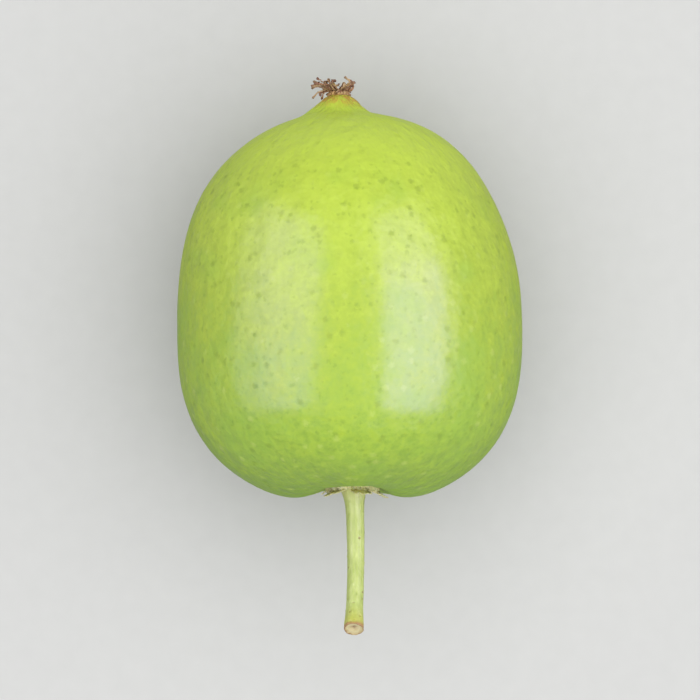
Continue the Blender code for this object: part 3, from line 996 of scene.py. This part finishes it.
# %% Stalk colours and finish
BARK_TONES = [
    (0.0, (0.23, 0.29, 0.05)), (0.45, (0.40, 0.48, 0.12)), (0.75, (0.53, 0.60, 0.21)),
    (1.0, (0.60, 0.65, 0.30))]
WOOD_TONES = [
    (0.0, (0.17, 0.11, 0.05)), (0.14, (0.29, 0.21, 0.10)), (0.32, (0.50, 0.42, 0.22)),
    (0.62, (0.56, 0.50, 0.28)), (0.84, (0.45, 0.37, 0.18)), (0.97, (0.24, 0.14, 0.06))]
BARK_PORE = (0.22, 0.14, 0.05)
CORKY_FOOT = (0.45, 0.38, 0.13)
YELLOWED = (0.50, 0.50, 0.08)
DRIED = (0.36, 0.17, 0.07)
STALK_DEPTHS = (0.5, 0.6, 0.2)


def finish_stalk():
    stalk = Finish("stalk")
    place = stalk.note("fruit", "Vector")
    core = stalk.note("core")
    from_foot = stalk.note("from_foot")
    grain = stalk.cloud(stalk.scaled(place, (1.0, 0.18, 1.0)), 5.0, 4.0, 0.6)
    patches = stalk.cloud(place, 0.9, 2.0)
    bark = stalk.ramp(BARK_TONES, grain * 0.75 + patches * 0.35)
    pores = stalk.dots(place, 2.1, 0.11, 5.0)
    bark = stalk.mix(pores * 0.7, bark, BARK_PORE)
    foot = from_foot.between(1.5, 0.2) * (0.3 + grain)
    bark = stalk.mix(foot * 0.45, bark, CORKY_FOOT)
    bark = stalk.mix(from_foot.between(7.3, 8.5) * 0.7, bark, YELLOWED)
    dry = (from_foot + (patches - 0.5) * 0.6).between(8.38, 8.62)
    bark = stalk.mix(dry * 0.85, bark, DRIED)
    torn = stalk.cloud(place, 2.6, 3.0, 0.6)
    wood = stalk.ramp(WOOD_TONES, core + (torn - 0.5) * 0.7)
    cut = core.between(0.995, 0.97)
    stalk.surface(cut_stalk, {
        "Base Color": stalk.mix(cut, bark, wood), "Roughness": cut * 0.4 + (grain * 0.3 + 0.3),
        "Normal": stalk.bump(grain + pores * 0.8, 0.02), "Subsurface Weight": 0.12,
        "Subsurface Radius": STALK_DEPTHS, "Subsurface Scale": MM})


finish_stalk()

# %% [markdown]
# Calyx finish
#
# Dry sepals are like thin straw-coloured paper, browner at their torn edges, and they let a little
# light through. The ring under them is pale cork, and the threads are a warmer tan. All of it is
# matt. The bump adds only a fine crust, because the tears and the veins are real shapes.

# %% Calyx colours and finish
SEPAL_TONES = [
    (0.0, (0.34, 0.30, 0.13)), (0.35, (0.50, 0.47, 0.22)), (0.6, (0.60, 0.58, 0.29)),
    (1.0, (0.68, 0.66, 0.38))]
TORN_EDGE = (0.40, 0.29, 0.14)
THREAD_TAN = (0.62, 0.52, 0.3)
PAPER_DEPTHS = (1.0, 0.8, 0.4)


def finish_calyx():
    calyx = Finish("dry_calyx")
    place = calyx.note("fruit", "Vector")
    out = calyx.note("out")
    thread = calyx.note("thread")
    crust = calyx.cloud(place, 3.0, 5.0, 0.65)
    patches = calyx.cloud(place, 0.8, 2.0)
    colour = calyx.ramp(SEPAL_TONES, crust * 0.7 + patches * 0.4)
    edge = (out + (crust - 0.5) * 0.5).between(1.75, 2.3)
    colour = calyx.mix(edge * (0.2 + crust * 0.8), colour, TORN_EDGE)
    colour = calyx.mix(thread * 0.75, colour, THREAD_TAN)
    calyx.surface(torn_calyx, {
        "Base Color": colour, "Roughness": 0.8 + (crust - 0.5) * 0.2,
        "Normal": calyx.bump(crust, 0.04), "Specular IOR Level": 0.2, "Subsurface Weight": 0.4,
        "Subsurface Radius": PAPER_DEPTHS, "Subsurface Scale": 0.6 * MM})


finish_calyx()

# %% [markdown]
# Tuft finish
#
# Dry styles aren't all of one colour. A material for each would do, but one is enough, because the
# mesh carries three notes. Kind gives each style its own tint, from red-brown to straw. Groove paints
# shade into the furrows between the pleats and the folds of the knob. Share makes it browner along
# its length and darkest at the tip, and paints shade at the foot, where the styles crowd together.

# %% Tuft colours and finish
STYLE_TONES = [
    (0.0, (0.52, 0.35, 0.13)), (0.3, (0.46, 0.25, 0.12)), (0.7, (0.36, 0.19, 0.11)),
    (0.95, (0.17, 0.085, 0.05))]
STRAW = (0.58, 0.43, 0.24)
GROOVE_SHADE = (0.14, 0.07, 0.04)
TIP_BROWN = (0.12, 0.06, 0.04)
FOOT_SHADE = (0.16, 0.09, 0.05)


def finish_tuft():
    tuft = Finish("dry_style")
    place = tuft.note("fruit", "Vector")
    share = tuft.note("share")
    kind = tuft.note("kind")
    groove = tuft.note("groove")
    crust = tuft.cloud(place, 4.0, 4.0, 0.6)
    patches = tuft.cloud(place, 1.2, 2.0)
    aged = share * 0.8 + (crust - 0.5) * 0.6 + (patches - 0.5) * 0.4
    straw = (kind + (patches - 0.5) * 0.8).between(0.45, 0.8)
    colour = tuft.mix(straw * 0.75, tuft.ramp(STYLE_TONES, aged), STRAW)
    # Painted shade in the furrows between the pleats and between the folds of the knob.
    colour = tuft.mix(groove * (0.35 + crust * 0.5), colour, GROOVE_SHADE)
    colour = tuft.mix(share.between(0.9, 1.0) * 0.6, colour, TIP_BROWN)
    # Painted shade at the feet of the styles, where they crowd on the knob.
    colour = tuft.mix(share.between(0.22, 0.0) * 0.45, colour, FOOT_SHADE)
    tuft.surface(dry_tuft, {
        "Base Color": colour, "Roughness": 0.55 + (crust - 0.5) * 0.3,
        "Normal": tuft.bump(crust, 0.03), "Specular IOR Level": 0.15})


finish_tuft()

# %% [markdown]
# Floor
#
# A plain pale sheet, large enough that its edge doesn't show in the picture, with a very slight
# grain so that it reads as a real surface. From above it needs no curved backdrop. It is matt, and
# it is left out of reflections, so that the wax shows no pale band along the fruit's lower side.

# %% Floor
FLOOR_HALF = 3.0
FLOOR_GREYS = ((0.48, 0.48, 0.478), (0.51, 0.51, 0.508))
FLOOR_GRAIN = 900.0  # grains of noise in a metre


def make_floor():
    mesh = bpy.data.meshes.new("floor")
    corners = ((-1.0, -1.0), (1.0, -1.0), (1.0, 1.0), (-1.0, 1.0))
    points = [(FLOOR_HALF * across, FLOOR_HALF * along, 0.0) for across, along in corners]
    mesh.from_pydata(points, [], [(0, 1, 2, 3)])
    floor = bpy.data.objects.new("floor", mesh)
    bpy.context.scene.collection.objects.link(floor)
    floor.visible_glossy = False
    paint = Finish("floor_paint")
    place = paint.node("TexCoord", {}, output="Object")
    colour = paint.mix(paint.cloud(place, FLOOR_GRAIN, 3.0), *FLOOR_GREYS)
    paint.surface(floor, {"Base Color": colour, "Roughness": 0.9, "Specular IOR Level": 0.0})


make_floor()

# %% [markdown]
# Light
#
# The skin shows two long soft highlights side by side, as from two tall windows. Where a highlight
# lies tells where its light is: the skin there leans half as far over as the light does. Each window
# is two panels, because the right one is dimmer in its upper part and the left one fades outwards.
# They show in the gloss only, and are violet, the opposite of the skin's colour, which turns the
# green under them pale. A wide panel overhead gives the colour but no highlight, and a pale
# surrounding fills the shadows.

# %% Softboxes and surroundings
LIGHT_DISTANCE = 0.6
DAYLIGHT = (1.0, 1.0, 0.99)
WINDOW_TINT = (0.5, 0.32, 1.0)
# Name, lean and direction in degrees, width and both ends in metres, and brightness
WINDOWS = (
    ("right_window", 45.0, 5.0, 0.46, (-0.475, 0.2), 6.4),
    ("right_window_top", 45.0, 5.0, 0.46, (0.2, 0.5), 3.2),
    ("left_window", 50.0, 174.0, 0.66, (-0.44, 0.5), 1.7),
    ("left_window_inner", 45.5, 174.0, 0.44, (-0.36, 0.42), 1.8))


def softbox(name, lean, towards, width, ends, radiance, colour, seen_in):
    """An area light that leans from the vertical in a direction and reaches between two ends."""
    start, end = ends
    light = bpy.data.lights.new(name, "AREA")
    light.shape = "RECTANGLE"
    light.size = width
    light.size_y = end - start
    light.energy = radiance * math.pi * width * (end - start)
    light.color = colour
    box = bpy.data.objects.new(name, light)
    lean = math.radians(lean)
    towards = math.radians(towards)
    outward = Vector((math.cos(towards), math.sin(towards), 0.0))
    aim = math.sin(lean) * outward + math.cos(lean) * Vector((0.0, 0.0, 1.0))
    beside = Vector((-outward.y, outward.x, 0.0))
    box.location = aim * LIGHT_DISTANCE + beside * (start + end) / 2.0
    box.rotation_euler = (0.0, lean, towards)
    box.visible_camera = False
    box.visible_diffuse = seen_in == "colour"
    box.visible_glossy = seen_in == "gloss"
    bpy.context.scene.collection.objects.link(box)
    print(name, "leans", round(math.degrees(lean), 1), "degrees and shows in the", seen_in)


softbox("overhead", 9.0, -25.0, 1.3, (-0.65, 0.65), 1.9, DAYLIGHT, "colour")
for window in WINDOWS:
    softbox(*window, WINDOW_TINT, "gloss")


def surroundings(colour, strength):
    world = bpy.data.worlds.new("surroundings")
    world.use_nodes = True
    back = world.node_tree.nodes["Background"]
    back.inputs["Color"].default_value = (*colour, 1.0)
    back.inputs["Strength"].default_value = strength
    bpy.context.scene.world = world


surroundings((0.98, 0.99, 1.0), 0.38)

# %% [markdown]
# Camera
#
# The picture was taken from straight above, with the beak at the top. A long lens keeps the outline
# free of perspective. The fruit, from stalk end to tuft, takes about four fifths of the height.

# %% Camera
LENS = 200.0
SENSOR = 36.0
VIEW_HEIGHT = 0.041
NEAREST = 0.01
FURTHEST = 20.0


def make_camera():
    low, high = cad_box
    middle = (low + high) / 2.0
    data = bpy.data.cameras.new("camera")
    data.lens = LENS
    data.sensor_width = SENSOR
    data.clip_start = NEAREST
    data.clip_end = FURTHEST
    camera = bpy.data.objects.new("camera", data)
    distance = VIEW_HEIGHT / SENSOR * LENS
    camera.location = (middle.x, middle.y, middle.z + distance)
    bpy.context.scene.collection.objects.link(camera)
    bpy.context.scene.camera = camera
    bpy.context.scene.view_settings.view_transform = "Standard"
    print("camera", round(distance * 1000.0), "mm above the fruit")


make_camera()
